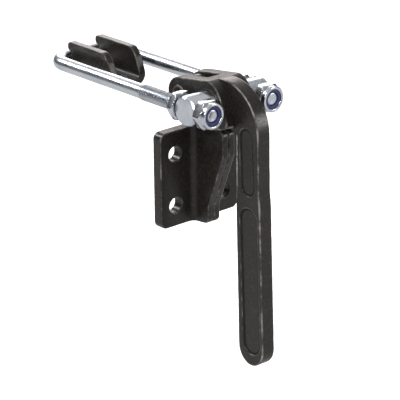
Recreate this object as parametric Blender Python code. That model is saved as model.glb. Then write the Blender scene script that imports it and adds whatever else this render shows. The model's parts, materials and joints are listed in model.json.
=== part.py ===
"""Pull-action latch clamp with a flanged base, a forged handle, a U-bolt and a catch plate.

Frame: metres, +Z up, +X out of the wall that the base is bolted to, +Y across the clamp.
Origin: on the wall face, at the centre of the base's four bolt holes.
The clamp is closed: the handle hangs down and the U-bolt lies level.
All levels below are drawn from the U-bolt's legs, and main() lifts the whole clamp by LEG_LEVEL.
"""

import math

import bmesh
import bpy
from mathutils import Vector

MM = 0.001
GAP = 0.25 * MM
OVERCUT = 1.0 * MM
LEG_LEVEL = 52.0 * MM

# Base pivot.
PIVOT_X = 3.7 * MM
PIVOT_Z = 1.4 * MM
PIVOT_RADIUS = 4.6 * MM
PIVOT_HEAD_RADIUS = 5.6 * MM
PIVOT_HEAD_RISE = 0.9 * MM

# Base brackets: two mirrored L-shaped pressings, back to back.
FLANGE_THICKNESS = 7.2 * MM
FLANGE_HALF_WIDTH = 31.5 * MM
FLANGE_TOP = -20.2 * MM
FLANGE_BOTTOM = -82.5 * MM
FLANGE_CORNER = 4.5 * MM
BOLT_HOLE_RADIUS = 5.0 * MM
BOLT_HOLE_Y = 19.8 * MM
BOLT_HOLE_LEVELS = (-35.2 * MM, -68.8 * MM)
WEB_INNER_Y = 0.15 * MM
WEB_OUTER_Y = 4.75 * MM
WEB_FRONT = 34.3 * MM
WEB_TOP = -17.6 * MM
WEB_TOP_AT_NECK = -19.0 * MM
WEB_CORNER = 4.0 * MM
WEB_KINK = -34.7 * MM
WEB_TOE_FRONT = 20.4 * MM
WEB_TOE_KINK = -70.2 * MM
WEB_TOE_BOTTOM = -81.5 * MM
BEND_RADIUS = 4.2 * MM
EYE_RADIUS = 9.0 * MM
NECK_FRONT = 14.0 * MM
NECK_FILLET = 2.0 * MM
NECK_BACK = ((PIVOT_X - EYE_RADIUS, -6.0 * MM), (0.0, -14.0 * MM))
BRACKET_EDGE = 1.1 * MM

# Handle: fork head, scooped shoulder and flat arm. Points are (X, Z).
HEAD_HALF_WIDTH = 13.0 * MM
NOSE_RADIUS = 10.4 * MM
NOSE_TOP_ANGLE = 96.8
NOSE_BOTTOM_ANGLE = 257.0
SLOT_HALF_WIDTH = 5.15 * MM
SLOT_END_X = 21.2 * MM
ARM_HALF_WIDTH = 5.0 * MM
SHOULDER_CENTRE = (35.4 * MM, -14.4 * MM)
SHOULDER_RADIUS = 30.2 * MM
SHOULDER_START = 97.0
SHOULDER_END = 3.0
HEAD_LOW = (28.0 * MM, -14.6 * MM)
CROTCH = ((46.8 * MM, -16.6 * MM), (46.0 * MM, -14.0 * MM), (44.0 * MM, -12.4 * MM), (41.0 * MM, -12.6 * MM))
CHEEK_FRONT = (
    (26.0 * MM, 16.3 * MM),
    (31.6 * MM, 15.1 * MM),
    (35.0 * MM, 13.7 * MM),
    (37.8 * MM, 11.4 * MM),
    (40.2 * MM, 7.9 * MM),
    (42.4 * MM, 4.1 * MM),
    (45.0 * MM, -0.9 * MM),
    (47.0 * MM, -6.6 * MM),
    (47.0 * MM, -9.0 * MM),
    (45.8 * MM, -11.0 * MM),
    (43.6 * MM, -12.3 * MM),
    (38.0 * MM, -14.2 * MM),
)
ARM_INNER_X = 46.8 * MM
NECK_OUTER_X = 66.0 * MM
NECK_END = -49.0 * MM
GRIP_START = -57.0 * MM
GRIP_OUTER_X = (67.0 * MM, 70.0 * MM)
GRIP_INNER_X = (46.0 * MM, 48.2 * MM)
GRIP_END_START = -152.5 * MM
GRIP_BOTTOM = -164.6 * MM
HANDLE_EDGE = 1.2 * MM
RECESS_DEPTH = 0.9 * MM
UPPER_RECESS = (55.0 * MM, -10.7 * MM, 56.4 * MM, -53.2 * MM, 5.6 * MM)
LOWER_RECESS = (57.0 * MM, -61.0 * MM, 59.9 * MM, -156.8 * MM, 7.4 * MM)

# Cross bar.
BAR_X = 29.6 * MM
BAR_RADIUS = 9.5 * MM
BAR_HALF_LENGTH = 31.2 * MM
BAR_CHAMFER = 1.1 * MM
BAR_SEAT = 8.9 * MM
BAR_SEAT_RADIUS = 10.4 * MM

# U-bolt, M10 thread on both legs.
LEG_Y = 24.2 * MM
SHANK_RADIUS = 4.65 * MM
THREAD_RADIUS = 5.0 * MM
THREAD_START_X = -17.5 * MM
BOLT_END_X = 47.0 * MM
BEND_X = -107.8 * MM
BOLT_CORNER_RADIUS = 11.5 * MM
BOLT_CHAMFER = 0.7 * MM
BOLT_SIDES = 24

# Nuts.
NUT_FLATS = 17.0 * MM
NUT_CHAMFER_ANGLE = math.radians(30)
NUT_HEIGHT = 5.0 * MM
LOCK_NUT_HEIGHT = 9.8 * MM
LOCK_HEX_HEIGHT = 6.6 * MM
COLLAR_RADIUS = 7.95 * MM
COLLAR_MOUTH_RADIUS = 6.2 * MM
COLLAR_LIP = 0.5 * MM
NUT_BORE_RADIUS = THREAD_RADIUS + GAP
RING_RADIUS = 6.5 * MM
RING_LENGTH = 3.1 * MM
RING_EDGE = 0.4 * MM

# Catch plate.
CATCH_HALF_WIDTH = 13.75 * MM
CATCH_THICKNESS = 5.0 * MM
CATCH_TOP = 11.0 * MM
CATCH_BOTTOM = -13.0 * MM
CATCH_REAR = -102.6 * MM
CATCH_FRONT = -59.6 * MM
CATCH_NOSE = -105.6 * MM
CATCH_NOSE_UNDER = 5.2 * MM
CATCH_OUTER_BEND = 8.0 * MM
CATCH_EDGE = 0.9 * MM
CATCH_CORNER = 2.2 * MM
CATCH_THROAT = -101.9 * MM
CATCH_BROW_LOW = (-60.2 * MM, -5.0 * MM)
CATCH_BROW_HIGH = (-64.6 * MM, 6.0 * MM)
CATCH_TOP_FRONT = (-69.0 * MM, CATCH_TOP)
CATCH_HOLE_RADIUS = 4.25 * MM
CATCH_HOLE_X = (-93.0 * MM, -70.0 * MM)

SIDES = ((-1, "left"), (1, "right"))
ARC_STEP = math.radians(12)
SHARP_ANGLE = math.radians(30)
ROUND_SIDES = 32


def clear_scene():
    """Remove every object that the file opened with."""
    for thing in list(bpy.data.objects):
        bpy.data.objects.remove(thing, do_unlink=True)


def make_material(name, colour, metallic, roughness):
    """One Principled material."""
    material = bpy.data.materials.new(name)
    material.use_nodes = True
    shader = material.node_tree.nodes["Principled BSDF"]
    shader.inputs["Base Color"].default_value = (*colour, 1.0)
    shader.inputs["Metallic"].default_value = metallic
    shader.inputs["Roughness"].default_value = roughness
    return material


def forged_black(name):
    return make_material(name, (0.032, 0.030, 0.029), 0.35, 0.45)


def zinc_plate(name):
    return make_material(name, (0.62, 0.65, 0.69), 1.0, 0.24)


def blue_nylon(name):
    return make_material(name, (0.035, 0.040, 0.160), 0.0, 0.42)


def add_empty(name, origin, parent=None):
    """An empty that carries a moving body; its origin lies on the joint's axis."""
    empty = bpy.data.objects.new(name, None)
    bpy.context.collection.objects.link(empty)
    place(empty, origin, parent)
    return empty


def world_origin(thing):
    """Location in the world of an object whose parents are only shifted."""
    total = Vector((0.0, 0.0, 0.0))
    while thing is not None:
        total = total + thing.location
        thing = thing.parent
    return total


def place(thing, origin, parent):
    """Give an object its parent and put its origin at a point of the world."""
    thing.parent = parent
    thing.location = Vector(origin) - world_origin(parent)


def add_object(name, shape, origin=(0.0, 0.0, 0.0), parent=None, material=None):
    """Turn a bmesh in world coordinates into an object whose origin is given."""
    bmesh.ops.recalc_face_normals(shape, faces=shape.faces)
    bmesh.ops.translate(shape, verts=shape.verts, vec=-Vector(origin))
    mesh = bpy.data.meshes.new(name)
    shape.to_mesh(mesh)
    shape.free()
    mesh.shade_smooth()
    mesh.set_sharp_from_angle(angle=SHARP_ANGLE)
    thing = bpy.data.objects.new(name, mesh)
    bpy.context.collection.objects.link(thing)
    place(thing, origin, parent)
    if material is not None:
        mesh.materials.append(material)
    return thing


def add_tool(name, shape):
    """A hidden helper for a Boolean."""
    tool = add_object(name, shape)
    tool.hide_render = True
    tool.display_type = "WIRE"
    return tool


def boolean(thing, tool, operation):
    modifier = thing.modifiers.new(tool.name, "BOOLEAN")
    modifier.operation = operation
    modifier.solver = "EXACT"
    modifier.object = tool


def add_bevel(thing, width):
    modifier = thing.modifiers.new("edge_round", "BEVEL")
    modifier.width = width
    modifier.segments = 2
    modifier.limit_method = "ANGLE"
    modifier.angle_limit = SHARP_ANGLE


def arc(centre, radius, start, end):
    """Points of an arc, ends included; angles in degrees."""
    start, end = math.radians(start), math.radians(end)
    count = max(2, math.ceil(abs(end - start) / ARC_STEP))
    points = []
    for index in range(count + 1):
        angle = start + (end - start) * index / count
        points.append((centre[0] + radius * math.cos(angle), centre[1] + radius * math.sin(angle)))
    return points


def rounded(corners):
    """Closed outline from (u, v, radius) corners, each corner rounded with an arc."""
    points = []
    for index, (u, v, radius) in enumerate(corners):
        here = Vector((u, v))
        if radius == 0.0:
            points.append((u, v))
            continue
        before = Vector(corners[index - 1][:2])
        after = Vector(corners[(index + 1) % len(corners)][:2])
        to_before = (before - here).normalized()
        to_after = (after - here).normalized()
        half = to_before.angle(to_after) / 2
        centre = here + (to_before + to_after).normalized() * (radius / math.sin(half))
        first = here + to_before * (radius / math.tan(half)) - centre
        last = here + to_after * (radius / math.tan(half)) - centre
        turn = math.atan2(first.x * last.y - first.y * last.x, first.dot(last))
        start = math.degrees(math.atan2(first.y, first.x))
        points += arc(centre, radius, start, start + math.degrees(turn))
    return points


def prism(outline, axis, low, high):
    """Outline extruded along an axis.

    The outline is in (X, Z) for axis Y, in (Y, Z) for axis X and in (X, Y) for axis Z.
    """
    spots = {
        "X": lambda u, v, along: (along, u, v),
        "Y": lambda u, v, along: (u, along, v),
        "Z": lambda u, v, along: (u, v, along),
    }
    shape = bmesh.new()
    base = shape.faces.new([shape.verts.new(spots[axis](u, v, low)) for u, v in outline])
    made = bmesh.ops.extrude_face_region(shape, geom=[base])
    moved = [item for item in made["geom"] if isinstance(item, bmesh.types.BMVert)]
    bmesh.ops.translate(shape, verts=moved, vec=Vector(spots[axis](0.0, 0.0, high - low)))
    return shape


def loft(rings):
    """Closed solid through a row of rings that have the same number of points."""
    shape = bmesh.new()
    loops = [[shape.verts.new(spot) for spot in ring] for ring in rings]
    for first, second in zip(loops, loops[1:]):
        for index in range(len(first)):
            following = (index + 1) % len(first)
            shape.faces.new((first[index], first[following], second[following], second[index]))
    shape.faces.new(loops[0])
    shape.faces.new(loops[-1])
    return shape


def circle(axis, centre, station, radius, sides):
    """Ring of points about a line along X or Y."""
    ring = []
    for index in range(sides):
        angle = 2 * math.pi * index / sides
        across = centre[0] + radius * math.cos(angle)
        up = centre[1] + radius * math.sin(angle)
        ring.append((station, across, up) if axis == "X" else (across, station, up))
    return ring


def turned(profile, axis, centre, sides=ROUND_SIDES):
    """Solid turned about a line along X or Y; the profile is a row of (station, radius)."""
    return loft([circle(axis, centre, station, radius, sides) for station, radius in profile])


def turned_ring(profile, axis, centre, sides=ROUND_SIDES):
    """Closed ring turned about a line; the profile is a closed loop of (station, radius)."""
    shape = bmesh.new()
    loops = [
        [shape.verts.new(spot) for spot in circle(axis, centre, station, radius, sides)]
        for station, radius in profile
    ]
    for number, first in enumerate(loops):
        second = loops[(number + 1) % len(loops)]
        for index in range(sides):
            following = (index + 1) % sides
            shape.faces.new((first[index], first[following], second[following], second[index]))
    return shape


def rod(axis, centre, radius, low, high, sides=ROUND_SIDES):
    return turned([(low, radius), (high, radius)], axis, centre, sides)


# Base brackets

def bracket_profile(side):
    """Plan view of one L: web along X, flange along Y, with the inner bend."""
    inner, outer = side * WEB_INNER_Y, side * WEB_OUTER_Y
    reach = side * FLANGE_HALF_WIDTH
    rear = PIVOT_X - 2 * EYE_RADIUS
    front = WEB_FRONT + EYE_RADIUS
    return rounded([
        (rear, inner, 0.0),
        (front, inner, 0.0),
        (front, outer, 0.0),
        (FLANGE_THICKNESS, outer, BEND_RADIUS),
        (FLANGE_THICKNESS, reach, 0.0),
        (0.0, reach, 0.0),
        (0.0, outer, 0.0),
        (rear, outer, 0.0),
    ])


def web_outline():
    """Side view of the web: toe, front edge, shoulder, neck and round eye."""
    corners = rounded([
        (0.0, FLANGE_BOTTOM, 0.0),
        (FLANGE_THICKNESS + BEND_RADIUS, FLANGE_BOTTOM, 0.0),
        (WEB_TOE_FRONT, WEB_TOE_BOTTOM, WEB_CORNER),
        (WEB_TOE_FRONT, WEB_TOE_KINK, WEB_CORNER),
        (WEB_FRONT, WEB_KINK, WEB_CORNER),
        (WEB_FRONT, WEB_TOP, WEB_CORNER),
        (NECK_FRONT, WEB_TOP_AT_NECK, NECK_FILLET),
    ])
    return corners + arc((PIVOT_X, PIVOT_Z), EYE_RADIUS, 0.0, 180.0) + list(NECK_BACK)


def flange_outline(side):
    """Front view: tall strip for the web and neck, wide plate below it."""
    inner, outer = 0.0, side * WEB_OUTER_Y
    reach = side * FLANGE_HALF_WIDTH
    lift = PIVOT_Z + 2 * EYE_RADIUS
    below = FLANGE_BOTTOM - EYE_RADIUS
    return rounded([
        (inner, below, 0.0),
        (outer, below, 0.0),
        (outer, FLANGE_BOTTOM, 0.0),
        (reach, FLANGE_BOTTOM, FLANGE_CORNER),
        (reach, FLANGE_TOP, FLANGE_CORNER),
        (outer, FLANGE_TOP, NECK_FILLET),
        (outer, lift, 0.0),
        (inner, lift, 0.0),
    ])


def build_bracket(name, side):
    bottom = FLANGE_BOTTOM - OVERCUT
    top = PIVOT_Z + 1.5 * EYE_RADIUS
    bracket = add_object(
        name, prism(bracket_profile(side), "Z", bottom, top), material=forged_black(name)
    )
    reach = side * (FLANGE_HALF_WIDTH + OVERCUT)
    web_tool = add_tool(name + "_side_view", prism(web_outline(), "Y", -side * OVERCUT, reach))
    boolean(bracket, web_tool, "INTERSECT")
    front = WEB_FRONT + OVERCUT
    rear = PIVOT_X - 1.5 * EYE_RADIUS
    flange_tool = add_tool(name + "_front_view", prism(flange_outline(side), "X", rear, front))
    boolean(bracket, flange_tool, "INTERSECT")
    add_bevel(bracket, BRACKET_EDGE)
    for number, level in enumerate(BOLT_HOLE_LEVELS):
        centre = (side * BOLT_HOLE_Y, level)
        hole = rod("X", centre, BOLT_HOLE_RADIUS, -OVERCUT, FLANGE_THICKNESS + OVERCUT)
        boolean(bracket, add_tool(f"{name}_hole_{number}", hole), "DIFFERENCE")
    pivot = (PIVOT_X, PIVOT_Z)
    bore = rod("Y", pivot, PIVOT_RADIUS + GAP, -side * OVERCUT, side * 2 * WEB_OUTER_Y)
    boolean(bracket, add_tool(name + "_pivot_hole", bore), "DIFFERENCE")
    return bracket


def build_pivot_rivet():
    """Shank with a low domed head on each outer cheek."""
    reach = HEAD_HALF_WIDTH + GAP
    crown = reach + PIVOT_HEAD_RISE
    half = [
        (reach, PIVOT_RADIUS),
        (reach, PIVOT_HEAD_RADIUS),
        (reach + 0.45 * PIVOT_HEAD_RISE, 0.98 * PIVOT_HEAD_RADIUS),
        (reach + 0.9 * PIVOT_HEAD_RISE, 0.8 * PIVOT_HEAD_RADIUS),
        (crown, 0.5 * PIVOT_HEAD_RADIUS),
    ]
    profile = [(-along, radius) for along, radius in reversed(half)] + half
    shape = turned(profile, "Y", (PIVOT_X, PIVOT_Z))
    origin = (PIVOT_X, 0.0, PIVOT_Z)
    return add_object("pivot_rivet", shape, origin, material=forged_black("pivot_rivet"))


# Handle

def handle_outline():
    """Side view of the whole handle, from under its nose over the top and down to the grip."""
    points = arc((PIVOT_X, PIVOT_Z), NOSE_RADIUS, NOSE_BOTTOM_ANGLE, NOSE_TOP_ANGLE)
    points += arc(SHOULDER_CENTRE, SHOULDER_RADIUS, SHOULDER_START, SHOULDER_END)
    points += [(NECK_OUTER_X, NECK_END), (GRIP_OUTER_X[0], GRIP_START)]
    centre = (GRIP_OUTER_X[1] + GRIP_INNER_X[1]) / 2
    half_grip = (GRIP_OUTER_X[1] - GRIP_INNER_X[1]) / 2
    for across, down in arc((0.0, 0.0), 1.0, 0.0, 180.0):
        level = GRIP_END_START - (GRIP_END_START - GRIP_BOTTOM) * down
        points.append((centre + half_grip * across, level))
    points += [(GRIP_INNER_X[0], GRIP_START), (ARM_INNER_X, NECK_END)]
    return points + list(CROTCH) + [HEAD_LOW]


def relief_outline():
    """Region in front of the cheeks, where the handle is thinned to the arm."""
    beyond = 20 * MM
    low, high, front = GRIP_BOTTOM - beyond, SHOULDER_RADIUS, GRIP_OUTER_X[1] + beyond
    first, last = CHEEK_FRONT[0], CHEEK_FRONT[-1]
    return list(CHEEK_FRONT) + [(last[0], low), (front, low), (front, high), (first[0], high)]


def recess_solid(recess, side):
    """Round-ended pocket whose centre line runs from its top to its bottom."""
    top_x, top_z, bottom_x, bottom_z, radius = recess
    top = (top_x, top_z - radius)
    bottom = (bottom_x, bottom_z + radius)
    lean = math.degrees(math.atan2(bottom[0] - top[0], top[1] - bottom[1]))
    outline = arc(top, radius, lean, 180.0 + lean) + arc(bottom, radius, 180.0 + lean, 360.0 + lean)
    floor = side * (ARM_HALF_WIDTH - RECESS_DEPTH)
    return prism(outline, "Y", floor, side * (ARM_HALF_WIDTH + OVERCUT))


def build_handle(parent):
    origin = (PIVOT_X, 0.0, PIVOT_Z)
    body = prism(handle_outline(), "Y", -HEAD_HALF_WIDTH, HEAD_HALF_WIDTH)
    handle = add_object("handle", body, origin, parent, forged_black("handle"))
    for side, word in SIDES:
        relief = prism(relief_outline(), "Y", side * ARM_HALF_WIDTH, side * (HEAD_HALF_WIDTH + OVERCUT))
        boolean(handle, add_tool(f"handle_relief_{word}", relief), "DIFFERENCE")
    add_bevel(handle, HANDLE_EDGE)
    slot_rear = PIVOT_X - 2 * NOSE_RADIUS
    slot_outline = [
        (slot_rear, -SLOT_HALF_WIDTH),
        (SLOT_END_X, -SLOT_HALF_WIDTH),
        (SLOT_END_X, SLOT_HALF_WIDTH),
        (slot_rear, SLOT_HALF_WIDTH),
    ]
    slot = prism(slot_outline, "Z", -4 * NOSE_RADIUS, 4 * NOSE_RADIUS)
    boolean(handle, add_tool("handle_slot", slot), "DIFFERENCE")
    reach = HEAD_HALF_WIDTH + OVERCUT
    bar_bore = rod("Y", (BAR_X, 0.0), BAR_RADIUS + GAP, -reach, reach)
    boolean(handle, add_tool("handle_bar_bore", bar_bore), "DIFFERENCE")
    pivot_bore = rod("Y", (PIVOT_X, PIVOT_Z), PIVOT_RADIUS + GAP, -reach, reach)
    boolean(handle, add_tool("handle_pivot_bore", pivot_bore), "DIFFERENCE")
    for number, recess in enumerate((UPPER_RECESS, LOWER_RECESS)):
        for side, word in SIDES:
            pocket = recess_solid(recess, side)
            boolean(handle, add_tool(f"handle_recess_{number}_{word}", pocket), "DIFFERENCE")
    return handle


# Cross bar

def build_cross_bar(parent):
    end = BAR_HALF_LENGTH
    profile = [
        (-end, BAR_RADIUS - BAR_CHAMFER),
        (-end + BAR_CHAMFER, BAR_RADIUS),
        (end - BAR_CHAMFER, BAR_RADIUS),
        (end, BAR_RADIUS - BAR_CHAMFER),
    ]
    shape = turned(profile, "Y", (BAR_X, 0.0))
    bar = add_object("cross_bar", shape, (BAR_X, 0.0, 0.0), parent, zinc_plate("cross_bar"))
    for side, word in SIDES:
        leg = (side * LEG_Y, 0.0)
        hole = rod("X", leg, THREAD_RADIUS + GAP, BAR_X - 2 * BAR_RADIUS, BAR_X + 2 * BAR_RADIUS)
        boolean(bar, add_tool(f"cross_bar_hole_{word}", hole), "DIFFERENCE")
        for facing in (-1, 1):
            seat = BAR_X + facing * BAR_SEAT
            face = rod("X", leg, BAR_SEAT_RADIUS, seat, BAR_X + facing * 2 * BAR_RADIUS)
            name = f"cross_bar_seat_{word}_{'outer' if facing > 0 else 'inner'}"
            boolean(bar, add_tool(name, face), "DIFFERENCE")
    return bar


# U-bolt

def u_bolt_stations():
    """Centre line stations as (point, direction, radius), from one leg's end to the other."""
    bend = BOLT_CORNER_RADIUS
    leg = [
        (BOLT_END_X, THREAD_RADIUS - BOLT_CHAMFER),
        (BOLT_END_X - BOLT_CHAMFER, THREAD_RADIUS),
        (THREAD_START_X + BOLT_CHAMFER, THREAD_RADIUS),
        (THREAD_START_X, SHANK_RADIUS),
    ]
    left = [(Vector((x, -LEG_Y, 0.0)), Vector((-1.0, 0.0, 0.0)), radius) for x, radius in leg]
    right = [(Vector((x, LEG_Y, 0.0)), Vector((1.0, 0.0, 0.0)), radius) for x, radius in reversed(leg)]
    corners = []
    for side, turn in ((-1, (270.0, 180.0)), (1, (180.0, 90.0))):
        centre = (BEND_X + bend, side * (LEG_Y - bend))
        for x, y in arc(centre, bend, *turn):
            outward = Vector((x - centre[0], y - centre[1], 0.0)).normalized()
            direction = Vector((outward.y, -outward.x, 0.0))
            corners.append((Vector((x, y, 0.0)), direction, SHANK_RADIUS))
    return left + corners + right


def build_u_bolt(parent):
    up = Vector((0.0, 0.0, 1.0))
    rings = []
    for point, direction, radius in u_bolt_stations():
        across = direction.cross(up)
        ring = []
        for index in range(BOLT_SIDES):
            angle = 2 * math.pi * index / BOLT_SIDES
            ring.append(point + radius * (math.cos(angle) * across + math.sin(angle) * up))
        rings.append(ring)
    return add_object("u_bolt", loft(rings), (BAR_X, 0.0, 0.0), parent, zinc_plate("u_bolt"))


# Nuts

def hex_outline():
    """Hexagon in (Y, Z) with one pair of flats facing up and down."""
    corner = NUT_FLATS / math.sqrt(3)
    return [
        (corner * math.cos(math.radians(60 * step)), corner * math.sin(math.radians(60 * step)))
        for step in range(6)
    ]


def hex_solid(centre, low, high):
    outline = [(u + centre[0], v + centre[1]) for u, v in hex_outline()]
    return prism(outline, "X", low, high)


def nut_limit(centre, low, high):
    """Turned blank that takes the nut's corners down at both ends."""
    corner = NUT_FLATS / math.sqrt(3) + GAP
    flat = NUT_FLATS / 2 - GAP
    drop = (corner - flat) * math.tan(NUT_CHAMFER_ANGLE)
    profile = [(low, flat), (low + drop, corner), (high - drop, corner), (high, flat)]
    return turned(profile, "X", centre)


def build_hex_nut(name, side, parent):
    centre = (side * LEG_Y, 0.0)
    high = BAR_X - BAR_SEAT - GAP
    low = high - NUT_HEIGHT
    shape = hex_solid(centre, low, high)
    origin = (BAR_X, side * LEG_Y, 0.0)
    nut = add_object(name, shape, origin, parent, zinc_plate(name))
    limit = add_tool(name + "_chamfers", nut_limit(centre, low, high))
    boolean(nut, limit, "INTERSECT")
    bore = rod("X", centre, NUT_BORE_RADIUS, low - OVERCUT, high + OVERCUT)
    boolean(nut, add_tool(name + "_bore", bore), "DIFFERENCE")
    return nut


def build_lock_nut(name, side, parent):
    """Hex nut with a round collar that holds the nylon ring."""
    centre = (side * LEG_Y, 0.0)
    low = BAR_X + BAR_SEAT + GAP
    high = low + LOCK_NUT_HEIGHT
    shoulder = low + LOCK_HEX_HEIGHT
    shape = hex_solid(centre, low, shoulder)
    origin = (BAR_X, side * LEG_Y, 0.0)
    nut = add_object(name, shape, origin, parent, zinc_plate(name))
    boolean(nut, add_tool(name + "_chamfers", nut_limit(centre, low, shoulder)), "INTERSECT")
    lip = COLLAR_RADIUS - COLLAR_MOUTH_RADIUS
    collar = turned([
        (low + OVERCUT, COLLAR_RADIUS),
        (high - lip, COLLAR_RADIUS),
        (high - 0.3 * lip, COLLAR_RADIUS - 0.3 * lip),
        (high, COLLAR_RADIUS - 0.75 * lip),
    ], "X", centre)
    boolean(nut, add_tool(name + "_collar", collar), "UNION")
    ring_low = high - COLLAR_LIP - GAP - RING_LENGTH - GAP
    ring_high = high - COLLAR_LIP
    room = RING_RADIUS + GAP
    bore = turned([
        (low - OVERCUT, NUT_BORE_RADIUS),
        (ring_low, NUT_BORE_RADIUS),
        (ring_low, room),
        (ring_high, room),
        (ring_high, COLLAR_MOUTH_RADIUS),
        (high + OVERCUT, COLLAR_MOUTH_RADIUS),
    ], "X", centre)
    boolean(nut, add_tool(name + "_bore", bore), "DIFFERENCE")
    return nut


def build_nylon_ring(name, side, parent):
    centre = (side * LEG_Y, 0.0)
    high = BAR_X + BAR_SEAT + GAP + LOCK_NUT_HEIGHT - COLLAR_LIP - GAP
    low = high - RING_LENGTH
    profile = [
        (low, NUT_BORE_RADIUS),
        (low, RING_RADIUS),
        (high - RING_EDGE, RING_RADIUS),
        (high, RING_RADIUS - RING_EDGE),
        (high, NUT_BORE_RADIUS + RING_EDGE),
        (high - RING_EDGE, NUT_BORE_RADIUS),
    ]
    shape = turned_ring(profile, "X", centre)
    return add_object(name, shape, (BAR_X, side * LEG_Y, 0.0), parent, blue_nylon(name))


# Catch plate

def catch_outline():
    """Side view of the two hooked ears and the base between them."""
    return rounded([
        (CATCH_REAR, CATCH_BOTTOM, CATCH_CORNER),
        (CATCH_FRONT, CATCH_BOTTOM, CATCH_CORNER),
        (*CATCH_BROW_LOW, 8.0 * MM),
        (*CATCH_BROW_HIGH, 6.0 * MM),
        (*CATCH_TOP_FRONT, 5.0 * MM),
        (CATCH_NOSE, CATCH_TOP, CATCH_CORNER),
        (CATCH_NOSE, CATCH_NOSE_UNDER, CATCH_CORNER),
        (CATCH_THROAT, CATCH_NOSE_UNDER, CATCH_CORNER),
    ])


def channel_outline():
    """Front view of the bent channel."""
    wide, tall = CATCH_HALF_WIDTH, CATCH_TOP + OVERCUT
    inner = wide - CATCH_THICKNESS
    floor = CATCH_BOTTOM + CATCH_THICKNESS
    inner_bend = CATCH_OUTER_BEND - CATCH_THICKNESS
    return rounded([
        (-wide, tall, 0.0),
        (-wide, CATCH_BOTTOM, CATCH_OUTER_BEND),
        (wide, CATCH_BOTTOM, CATCH_OUTER_BEND),
        (wide, tall, 0.0),
        (inner, tall, 0.0),
        (inner, floor, inner_bend),
        (-inner, floor, inner_bend),
        (-inner, tall, 0.0),
    ])


def build_catch_plate():
    channel = prism(channel_outline(), "X", CATCH_NOSE - OVERCUT, CATCH_FRONT + OVERCUT)
    origin = (CATCH_REAR, 0.0, CATCH_BOTTOM)
    catch = add_object("catch_plate", channel, origin, material=forged_black("catch_plate"))
    reach = CATCH_HALF_WIDTH + OVERCUT
    side_view = prism(catch_outline(), "Y", -reach, reach)
    boolean(catch, add_tool("catch_side_view", side_view), "INTERSECT")
    add_bevel(catch, CATCH_EDGE)
    for number, x in enumerate(CATCH_HOLE_X):
        outline = arc((x, 0.0), CATCH_HOLE_RADIUS, 0.0, 360.0)[:-1]
        floor = CATCH_BOTTOM + CATCH_THICKNESS
        hole = prism(outline, "Z", CATCH_BOTTOM - OVERCUT, floor + OVERCUT)
        boolean(catch, add_tool(f"catch_hole_{number}", hole), "DIFFERENCE")
    return catch


def main():
    clear_scene()
    for side, word in SIDES:
        build_bracket(f"base_bracket_{word}", side)
    build_pivot_rivet()
    handle_body = add_empty("handle_body", (PIVOT_X, 0.0, PIVOT_Z))
    build_handle(handle_body)
    bar_body = add_empty("cross_bar_body", (BAR_X, 0.0, 0.0), handle_body)
    build_cross_bar(bar_body)
    u_bolt_body = add_empty("u_bolt_body", (BAR_X, 0.0, 0.0), bar_body)
    build_u_bolt(u_bolt_body)
    build_catch_plate()
    for side, word in SIDES:
        spin = (BAR_X, side * LEG_Y, 0.0)
        build_hex_nut(f"hex_nut_{word}", side, add_empty(f"hex_nut_body_{word}", spin, bar_body))
        lock_body = add_empty(f"lock_nut_body_{word}", spin, bar_body)
        build_lock_nut(f"lock_nut_{word}", side, lock_body)
        build_nylon_ring(f"nylon_ring_{word}", side, lock_body)
    for thing in bpy.data.objects:
        if thing.parent is None:
            thing.location.z += LEG_LEVEL


main()
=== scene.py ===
"""Looks of a pull-action latch clamp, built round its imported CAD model.

The row's frame: metres, +Z up, +X out of the wall, +Y across the clamp.
Shapes are drawn in millimetres from the level of the U-bolt's legs, and make() lifts them there.
"""

import json
import math

import bmesh
import bpy
import numpy as np
from mathutils import Matrix, Vector


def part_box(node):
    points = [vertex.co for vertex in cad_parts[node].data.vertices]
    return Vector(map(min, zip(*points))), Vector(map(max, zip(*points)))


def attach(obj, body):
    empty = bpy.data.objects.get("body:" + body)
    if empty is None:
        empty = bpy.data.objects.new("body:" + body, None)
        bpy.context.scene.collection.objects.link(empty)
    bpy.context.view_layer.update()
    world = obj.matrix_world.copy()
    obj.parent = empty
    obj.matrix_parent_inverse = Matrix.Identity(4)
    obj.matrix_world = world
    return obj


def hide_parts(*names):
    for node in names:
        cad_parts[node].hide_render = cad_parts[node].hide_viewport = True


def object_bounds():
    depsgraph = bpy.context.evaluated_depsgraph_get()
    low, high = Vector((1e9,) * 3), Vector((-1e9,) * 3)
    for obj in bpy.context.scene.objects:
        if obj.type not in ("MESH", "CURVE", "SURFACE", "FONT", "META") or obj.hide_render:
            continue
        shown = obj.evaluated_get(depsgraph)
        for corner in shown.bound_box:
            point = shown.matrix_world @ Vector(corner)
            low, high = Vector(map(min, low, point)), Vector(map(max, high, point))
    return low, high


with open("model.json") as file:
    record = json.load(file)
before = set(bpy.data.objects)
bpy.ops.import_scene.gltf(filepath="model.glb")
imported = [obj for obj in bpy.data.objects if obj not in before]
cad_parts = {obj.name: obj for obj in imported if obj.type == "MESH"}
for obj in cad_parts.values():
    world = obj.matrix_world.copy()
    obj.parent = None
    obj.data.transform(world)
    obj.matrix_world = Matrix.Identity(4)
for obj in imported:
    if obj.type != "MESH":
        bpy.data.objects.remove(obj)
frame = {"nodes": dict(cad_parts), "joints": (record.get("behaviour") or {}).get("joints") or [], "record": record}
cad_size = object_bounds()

MM = 0.001
TURN = 2 * math.pi
JOINTS = {joint["name"]: joint for joint in frame["joints"]}
BODIES = frame["record"]["behaviour"]["bodies"]
PIVOT = Vector(JOINTS["handle_pivot"]["pos_m"])
BAR = Vector(JOINTS["cross_bar_turn"]["pos_m"])
LEG_Y = abs(JOINTS["lock_nut_left_spin"]["pos_m"][1]) / MM
LEG_LEVEL = BAR.z
SIDES = ((-1, "left"), (1, "right"))

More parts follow.
